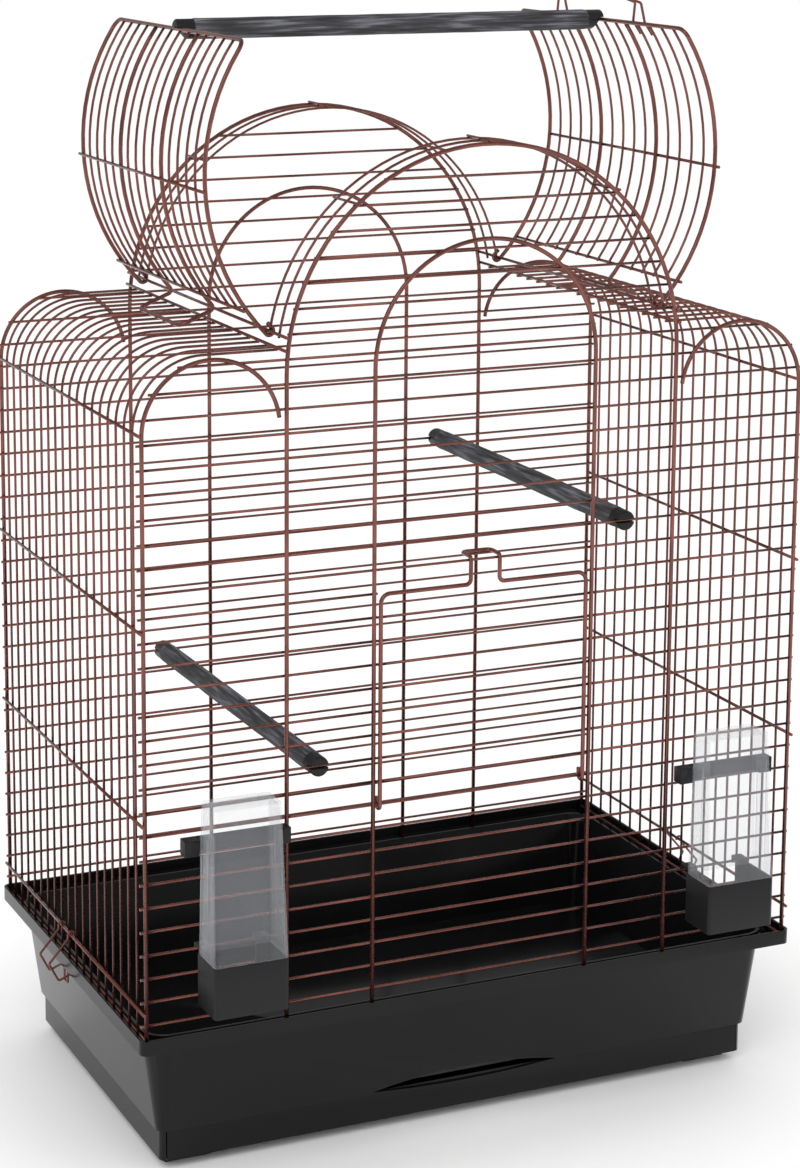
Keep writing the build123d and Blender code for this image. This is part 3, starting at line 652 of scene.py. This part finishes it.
class CAGE_OT_roof(CageOperator, bpy.types.Operator):
    """Roof rails, hinge bars and the arched strips beside the end arches"""

    bl_idname = "cage.roof"
    bl_label = "Fixed Roof"

    def execute(self, context):
        sides = self.prepare(context).wire_sides
        rail = tube(straight((0, 0, 0), RAIL_HALF, 1), RAIL_WIRE, sides)
        for node, x, z in (("roof_rails", ROOF_RAIL_X, ROOF_RAIL_Z), ("hinge_bars", HINGE_X, HINGE_Z)):
            wires(node, [copied(rail, [(-x, 0, z), (x, 0, z)])], "cage")
        start = HINGE_ANGLE - STRIP_END_ANGLE
        curve = arc((0, ARCH_Z), STRIP_RADIUS, start, 180 - start)
        outer = BODY_HALF_DEPTH + STRIP_TIE_OVERRUN
        inner = BODY_HALF_DEPTH - STRIP_ARCS * BAR_PITCH - STRIP_TIE_OVERRUN
        tie = tube(straight((0, 0, 0), (outer - inner) / 2, 1), THIN_WIRE, sides)
        spots = [arc((0, ARCH_Z), TIE_RADIUS, angle, angle)[0] for angle in STRIP_TIE_ANGLES]
        for end, face in (("front", -1), ("back", 1)):
            rows = [face * (BODY_HALF_DEPTH - row * BAR_PITCH) for row in range(1, STRIP_ARCS + 1)]
            arcs = [tube(upright(curve, y), THIN_WIRE, sides) for y in rows]
            ties = copied(tie, [(x, face * (outer + inner) / 2, z) for x, z in spots])
            wires(f"roof_strip_{end}", arcs + [ties], "cage")
        return {"FINISHED"}


FLAP_RADIUS = RAIL_RADIUS + RAIL_WIRE + FRAME_WIRE + RUNNING_GAP
FLAP_BAR_RADIUS = FLAP_RADIUS + touching(FRAME_WIRE, RAIL_WIRE)
FLAP_THIN_RADIUS = FLAP_BAR_RADIUS - touching(RAIL_WIRE, THIN_WIRE)
HOOK_RADIUS = RAIL_WIRE + FRAME_WIRE + RUNNING_GAP
FLAP_HALF = FLAP_SPACES * FLAP_PITCH / 2
LEFT_HINGE = np.array((-HINGE_X, HINGE_Z))
FLAP_CENTRE = LEFT_HINGE + turned((HINGE_X, ARCH_Z - HINGE_Z), FLAP_OPEN)
MEETING_ANGLE = degrees(asin((FRAME_WIRE + FLAP_MEETING_GAP / 2) / FLAP_RADIUS))
TOP_ANGLE = 90 + MEETING_ANGLE + FLAP_OPEN
FOOT_ANGLE = 180 - HINGE_ANGLE + FLAP_OPEN
LOW_ANGLE = 180 - FLAP_LOW_ANGLE + FLAP_OPEN
MID_ANGLE = 180 - FLAP_MID_ANGLE + FLAP_OPEN
THIN_START = TOP_ANGLE + degrees(touching(FRAME_WIRE, 0) / FLAP_RADIUS)


def on_flap(radius, angle):
    """A point (x, z) on the open left flap, by the angle about the flap's own centre."""
    return arc(FLAP_CENTRE, radius, angle, angle)[0]


def flap_frame():
    """The flap's rim: from the hook's tail round the hinge bar, up the edge, round the corner and back."""
    hook = arc(LEFT_HINGE, HOOK_RADIUS, FOOT_ANGLE + 180, FOOT_ANGLE, 20)
    tail = hook[0] + turned((0, HOOK_TAIL), FOOT_ANGLE - 180)
    corner_angle = TOP_ANGLE + degrees(FLAP_CORNER / FLAP_RADIUS)
    edge = arc(FLAP_CENTRE, FLAP_RADIUS, FOOT_ANGLE, corner_angle)
    corner = edge[-1] + turned((FLAP_CORNER, 0), corner_angle - 90)
    side = upright(np.vstack((tail, hook, edge[1:])), -FLAP_HALF)
    x, z = corner
    top = rounded((side[-2], side[-1], (x, -FLAP_HALF, z), (x, 0, z)), (0, FLAP_CORNER * CORNER_SHARE))
    return and_back(np.vstack((side[:-1], top[1:-1])), 1)


def flap_prop():
    """The flap's prop: two arcs that leave the flap above its hinge and end in a bar on the shoulder."""
    stop = FOOT_ANGLE - degrees(PROP_LEAVE / FLAP_RADIUS)
    y = -PROP_SPACES * FLAP_PITCH / 2
    rest_z = ROOF_WIRE_Z + THIN_WIRE + FRAME_WIRE + RUNNING_GAP
    side = upright(arc(FLAP_CENTRE, FLAP_RADIUS, THIN_START, stop), y)
    ends = ((-PROP_END_X, y, rest_z), (-PROP_END_X, 0, rest_z))
    foot = rounded((side[-2], side[-1], *ends), (PROP_BEND / 2, PROP_BEND))
    return and_back(np.vstack((side[:-1], foot[1:-1])), 1)


def mirrored(shape):
    """The shape's image across the middle: x turned over, and each face's order with it."""
    points, faces = shape
    return points * np.array((-1, 1, 1)), [face[::-1] for face in faces]


def latch_loops(sides):
    """Two loops on the right flap's top bar: along the bar, out past it and up from its face."""
    out_dir = turned((1, 0), TOP_ANGLE - 90)
    up_dir = turned((0, 1), TOP_ANGLE - 90)
    bar = on_flap(FLAP_RADIUS, TOP_ANGLE)
    foot_up = FRAME_WIRE + touching(0, THIN_WIRE)
    shape = (
        (-FLAP_PITCH / 2, -LATCH_TAIL, foot_up),
        (-FLAP_PITCH / 2, 0, foot_up),
        (-FLAP_PITCH / 4, LATCH_LENGTH / 2, LATCH_RISE),
        (-LATCH_TIP / 2, LATCH_LENGTH, THIN_WIRE),
    )
    run = []
    for along, out, up in shape:
        x, z = bar + out * out_dir + up * up_dir
        run.append((-x, along, z))
    bends = (LATCH_BEND,) * 6
    loop = tube(rounded(and_back(run, 1), bends), THIN_WIRE, sides)
    return [copied(loop, [(0, -LATCH_Y, 0), (0, LATCH_Y, 0)])]


class CAGE_OT_flaps(CageOperator, bpy.types.Operator):
    """The two open roof flaps, their props and the latches"""

    bl_idname = "cage.flaps"
    bl_label = "Roof Flaps"

    def execute(self, context):
        sides = self.prepare(context).wire_sides
        stop = LOW_ANGLE + degrees((RAIL_WIRE + THIN_WIRE) / FLAP_RADIUS)
        curve = arc(FLAP_CENTRE, FLAP_THIN_RADIUS, THIN_START, stop)
        rows = [index for index in range(1, FLAP_SPACES) if index % PROP_SPACES]
        places = [(0, (index - FLAP_SPACES / 2) * FLAP_PITCH, 0) for index in rows]
        spots = [on_flap(FLAP_BAR_RADIUS, angle) for angle in (MID_ANGLE, LOW_ANGLE)]
        bar = tube(straight((0, 0, 0), FLAP_HALF + FLAP_BAR_OVERRUN, 1), RAIL_WIRE, sides)
        shapes = {
            "frame": tube(flap_frame(), FRAME_WIRE, sides),
            "wires": copied(tube(upright(curve, 0), THIN_WIRE, sides - 2), places),
            "bars": copied(bar, [(x, 0, z) for x, z in spots]),
            "prop": tube(flap_prop(), FRAME_WIRE, sides),
        }
        for kind, shape in shapes.items():
            wires(f"flap_left_{kind}", [shape], "flap_left")
            wires(f"flap_right_{kind}", [mirrored(shape)], "flap_right")
        wires("flap_right_latches", latch_loops(sides), "flap_right")
        return {"FINISHED"}


class CAGE_OT_door(CageOperator, bpy.types.Operator):
    """The front door: one bent wire with a finger loop, and its bars"""

    bl_idname = "cage.door"
    bl_label = "Door"

    def execute(self, context):
        sides = self.prepare(context).wire_sides
        half = DOOR_POST_X - 2 * FRAME_WIRE - DOOR_SIDE_GAP
        offset = FRAME_WIRE + THIN_WIRE + RUNNING_GAP
        door_y = -BAR_Y - offset
        top = level(LATCH_BAR - 1)
        loop_z = level(LATCH_BAR) + offset
        loop_y = door_y + DOOR_LOOP_DEPTH + offset
        hinge_z = level(HINGE_BAR)
        angles = np.radians(np.linspace(0, -180, DOOR_HOOK_POINTS))
        hook_y = offset * np.cos(angles) - BAR_Y
        hook = np.stack((np.full(DOOR_HOOK_POINTS, -half), hook_y, hinge_z + offset * np.sin(angles)), axis=1)
        tail = (-half, offset - BAR_Y, hinge_z + DOOR_HOOK_TAIL)
        run = (
            (-half, door_y, hinge_z),
            (-half, door_y, top),
            (-DOOR_LOOP_HALF, door_y, top),
            (-DOOR_LOOP_HALF, door_y, loop_z),
            (-DOOR_LOOP_HALF, loop_y, loop_z),
            (0, loop_y, loop_z),
        )
        bends = (DOOR_CORNER, DOOR_LOOP_BEND, offset, DOOR_LOOP_BEND)
        path = np.vstack((tail, hook[:-1], rounded(run, bends)[:-1]))
        wires("door_frame", [tube(and_back(path, 0), FRAME_WIRE, sides)], "door")
        bar_y = door_y + touching(FRAME_WIRE, THIN_WIRE)
        bar = tube(straight((0, bar_y, 0), half + DOOR_BAR_OVERRUN, 0), THIN_WIRE, sides)
        heights = [level(index) for index in range(HINGE_BAR + 1, LATCH_BAR - 1)]
        wires("door_bars", [copied(bar, [(0, 0, z) for z in heights])], "door")
        return {"FINISHED"}


class CAGE_OT_clips(CageOperator, bpy.types.Operator):
    """The bent-wire clips that hold the wire body to the tray"""

    bl_idname = "cage.clips"
    bl_label = "Side Clips"

    def execute(self, context):
        sides = self.prepare(context).wire_sides
        eye_radius = RAIL_WIRE + CLIP_WIRE + RUNNING_GAP
        rail_z = RIM_HEIGHT + RAIL_FIRST
        under_z = LIP_FOOT - CLIP_WIRE - 2 * RUNNING_GAP
        eye = arc((RAIL_X, rail_z), eye_radius, 190, 0, 20)
        arm = (
            (RAIL_X + eye_radius, rail_z - CLIP_DROP),
            (TRAY_HALF_WIDTH + CLIP_BOW, RIM_HEIGHT - CLIP_BOW_DROP),
            (TRAY_HALF_WIDTH + CLIP_BOW / 2, under_z - CLIP_FOOT_DROP),
            (TRAY_HALF_WIDTH - CLIP_UNDER, under_z),
        )
        tab = (arm[-1], (TRAY_HALF_WIDTH - CLIP_UNDER, under_z - CLIP_TAB_LENGTH))
        for name, side in SIDES.items():
            rising = upright(eye, -CLIP_HALF_WIDTH, side)
            falling = upright(eye, CLIP_HALF_WIDTH, side)[::-1]
            run = np.vstack((upright(arm, -CLIP_HALF_WIDTH, side), upright(tab, -CLIP_TAB_HALF, side)))
            corners = np.vstack((rising[-1:], and_back(run, 1), falling[:1]))
            bent = rounded(corners, (CLIP_BEND,) * (len(corners) - 2))
            clip = tube(np.vstack((rising[:-1], bent, falling[1:])), CLIP_WIRE, sides)
            wires(f"clip_{name}", [copied(clip, [(0, CLIP_Y, 0)])], f"clip_{name}")
        return {"FINISHED"}


def grained_sleeve(low, high, axis):
    """A bark sleeve along a perch, drawn in to the perch at both ends. At angle a and share t of its length
    its radius is R + d * (sin(5a + 40t) + sin(9a - 23t) + sin(14a + 71t)) / 3."""
    middle = (np.asarray(low) + np.asarray(high)) / 2
    length = high[axis] - low[axis] - 2 * SLEEVE_INSET
    angle = np.arange(SLEEVE_SIDES) * 2 * np.pi / SLEEVE_SIDES
    share = np.linspace(0, 1, SLEEVE_RINGS)[:, None]
    waves = np.sin(5 * angle + 40 * share) + np.sin(9 * angle - 23 * share) + np.sin(14 * angle + 71 * share)
    ends = np.minimum(1, np.minimum(share, 1 - share) * length / (3 * SLEEVE_RISE))
    radius = PERCH_RADIUS - SLEEVE_RISE + ends * (2 * SLEEVE_RISE + GRAIN_DEPTH * waves / 3)
    across = (axis + 1) % 3
    upward = (axis + 2) % 3
    points = np.zeros((SLEEVE_RINGS, SLEEVE_SIDES, 3))
    points[..., axis] = middle[axis] + (share - 0.5) * length
    points[..., across] = middle[across] + radius * np.cos(angle)
    points[..., upward] = middle[upward] + radius * np.sin(angle)
    return points.reshape(-1, 3), ring_faces(SLEEVE_RINGS, SLEEVE_SIDES)


class CAGE_OT_perches(CageOperator, bpy.types.Operator):
    """Perches: black moulded ends and a charcoal bark sleeve"""

    bl_idname = "cage.perches"
    bl_label = "Perches"

    def execute(self, context):
        sizes = self.prepare(context)
        black = material_named("Matte black plastic")
        for node in ("perch_left", "perch_right", "top_perch"):
            low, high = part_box(node)
            axis = 0 if node == "top_perch" else 1
            eased_copy(node, f"{node}_core", black, node, sizes.feeder_edge)
            kind = "side to side" if axis == 0 else "front to back"
            bark = material_named(f"Charcoal bark, {kind}")
            new_piece(f"{node}_sleeve", grained_sleeve(low, high, axis), bark, node)
        return {"FINISHED"}


class CAGE_OT_feeders(CageOperator, bpy.types.Operator):
    """Feeders: black cups and brackets and clear hoppers"""

    bl_idname = "cage.feeders"
    bl_label = "Feeders"

    def execute(self, context):
        sizes = self.prepare(context)
        black = material_named("Matte black plastic")
        clear = material_named("Clear plastic")
        edge = sizes.feeder_edge
        for name in SIDES:
            for part in ("cup", "bracket"):
                node = f"feeder_{part}_{name}"
                eased_copy(node, f"{node}_moulded", black, "cage", edge)
            node = f"feeder_hopper_{name}"
            eased_copy(node, f"{node}_moulded", clear, f"hopper_{name}", edge / 2)
        return {"FINISHED"}


def soft_lamp(name, power, size, place, aim):
    """A large square lamp at one place, turned to one point."""
    lamp = bpy.data.lights.new(name, "AREA")
    lamp.energy = power
    lamp.size = size
    holder = bpy.data.objects.new(name, lamp)
    facing = (Vector(aim) - Vector(place)).to_track_quat("-Z", "Y")
    holder.matrix_world = Matrix.LocRotScale(Vector(place), facing, None)
    bpy.context.collection.objects.link(holder)


class CAGE_OT_stage(CageOperator, bpy.types.Operator):
    """Pale floor, soft lamps, white surround and the camera"""

    bl_idname = "cage.stage"
    bl_label = "Stage"

    def execute(self, context):
        sizes = self.prepare(context)
        self.add_floor()
        self.add_world(context.scene)
        low, high = (np.array(corner) for corner in CAD_BOX)
        middle = (low + high) / 2
        soft_lamp("Key lamp", sizes.key_power, 1.6, middle + np.array(KEY_LAMP_PLACE), middle)
        soft_lamp("Fill lamp", sizes.fill_power, 1.8, middle + np.array(FILL_LAMP_PLACE), middle)
        self.add_camera(context.scene)
        context.scene.view_settings.view_transform = "Standard"
        return {"FINISHED"}

    def add_floor(self):
        """A wide, pale, matte floor that keeps the shadow."""
        mesh = bpy.data.meshes.new("Floor")
        corners = ((-1, -1), (1, -1), (1, 1), (-1, 1))
        mesh.from_pydata([(x * FLOOR_REACH, y * FLOOR_REACH, 0) for x, y in corners], [], [(0, 1, 2, 3)])
        material = bpy.data.materials.new("Pale floor")
        material.use_nodes = True
        shader = material.node_tree.nodes["Principled BSDF"]
        shader.inputs["Base Color"].default_value = (0.97, 0.97, 0.97, 1)
        shader.inputs["Roughness"].default_value = 0.9
        shader.inputs["Specular IOR Level"].default_value = 0.1
        mesh.materials.append(material)
        floor = bpy.data.objects.new("Floor", mesh)
        bpy.context.collection.objects.link(floor)

    def add_world(self, scene):
        """A white surround for the camera and through clear pieces, and a softer one in reflections."""
        world = bpy.data.worlds.new("White surround")
        scene.world = world
        world.use_nodes = True
        nodes = world.node_tree.nodes
        links = world.node_tree.links
        nodes.clear()
        path = nodes.new("ShaderNodeLightPath")
        shown = nodes.new("ShaderNodeMath")
        shown.operation = "MAXIMUM"
        links.new(path.outputs["Is Camera Ray"], shown.inputs[0])
        links.new(path.outputs["Is Transmission Ray"], shown.inputs[1])
        softened = nodes.new("ShaderNodeMath")
        softened.operation = "MULTIPLY_ADD"
        softened.inputs[1].default_value = GLOSS_DIMMING
        softened.inputs[2].default_value = SURROUND_LIGHT
        links.new(path.outputs["Is Glossy Ray"], softened.inputs[0])
        lighting = nodes.new("ShaderNodeBackground")
        links.new(softened.outputs[0], lighting.inputs["Strength"])
        backdrop = nodes.new("ShaderNodeBackground")
        backdrop.inputs["Color"].default_value = (1, 1, 1, 1)
        lighting.inputs["Color"].default_value = (1, 1, 1, 1)
        choice = nodes.new("ShaderNodeMixShader")
        links.new(shown.outputs[0], choice.inputs["Fac"])
        links.new(lighting.outputs["Background"], choice.inputs[1])
        links.new(backdrop.outputs["Background"], choice.inputs[2])
        output = nodes.new("ShaderNodeOutputWorld")
        links.new(choice.outputs["Shader"], output.inputs["Surface"])

    def add_camera(self, scene):
        """The picture's camera. For turn t and drop d it looks along (-sin t cos d, cos t cos d, -sin d)."""
        turn = radians(CAMERA_TURN)
        drop = radians(CAMERA_DROP)
        data = bpy.data.cameras.new("Picture camera")
        data.sensor_width = 36
        data.lens = FOCAL_PIXELS / PICTURE_LONG_SIDE * data.sensor_width
        data.shift_x = (PICTURE_MIDDLE[0] - CENTRE_PIXEL[0]) / PICTURE_LONG_SIDE
        data.shift_y = (CENTRE_PIXEL[1] - PICTURE_MIDDLE[1]) / PICTURE_LONG_SIDE
        data.clip_end = 100
        camera = bpy.data.objects.new("Picture camera", data)
        forward = Vector((-sin(turn) * cos(drop), cos(turn) * cos(drop), -sin(drop)))
        roll = Matrix.Rotation(radians(CAMERA_ROLL), 3, "Z").to_quaternion()
        facing = forward.to_track_quat("-Z", "Y") @ roll
        camera.matrix_world = Matrix.LocRotScale(Vector(CAMERA_PLACE), facing, None)
        bpy.context.collection.objects.link(camera)
        scene.camera = camera


OPERATORS = (
    CAGE_OT_tray,
    CAGE_OT_panels,
    CAGE_OT_sides,
    CAGE_OT_roof,
    CAGE_OT_flaps,
    CAGE_OT_door,
    CAGE_OT_clips,
    CAGE_OT_perches,
    CAGE_OT_feeders,
    CAGE_OT_stage,
)


class CAGE_PT_panel(bpy.types.Panel):
    """Every piece of the cage, with its sizes and colours"""

    bl_idname = "CAGE_PT_panel"
    bl_label = "Budgie Cage"
    bl_space_type = "VIEW_3D"
    bl_region_type = "UI"
    bl_category = "Budgie Cage"

    def draw(self, context):
        layout = self.layout
        for group in (context.scene.cage_sizes, context.scene.cage_colours):
            column = layout.column(align=True)
            for name in group.__annotations__:
                column.prop(group, name)
        column = layout.column(align=True)
        for operator in OPERATORS:
            column.operator(operator.bl_idname)


CLASSES = (CageSizes, CageColours, *OPERATORS, CAGE_PT_panel)


def register():
    """Add the classes and the scene's settings."""
    for item in CLASSES:
        bpy.utils.register_class(item)
    bpy.types.Scene.cage_sizes = bpy.props.PointerProperty(type=CageSizes)
    bpy.types.Scene.cage_colours = bpy.props.PointerProperty(type=CageColours)


def unregister():
    """Take the settings and the classes away."""
    del bpy.types.Scene.cage_colours
    del bpy.types.Scene.cage_sizes
    for item in reversed(CLASSES):
        bpy.utils.unregister_class(item)


def main():
    """Build every piece in order."""
    register()
    bpy.ops.cage.tray()
    bpy.ops.cage.panels()
    bpy.ops.cage.sides()
    bpy.ops.cage.roof()
    bpy.ops.cage.flaps()
    bpy.ops.cage.door()
    bpy.ops.cage.clips()
    bpy.ops.cage.perches()
    bpy.ops.cage.feeders()
    bpy.ops.cage.stage()


if __name__ == "__main__":
    main()
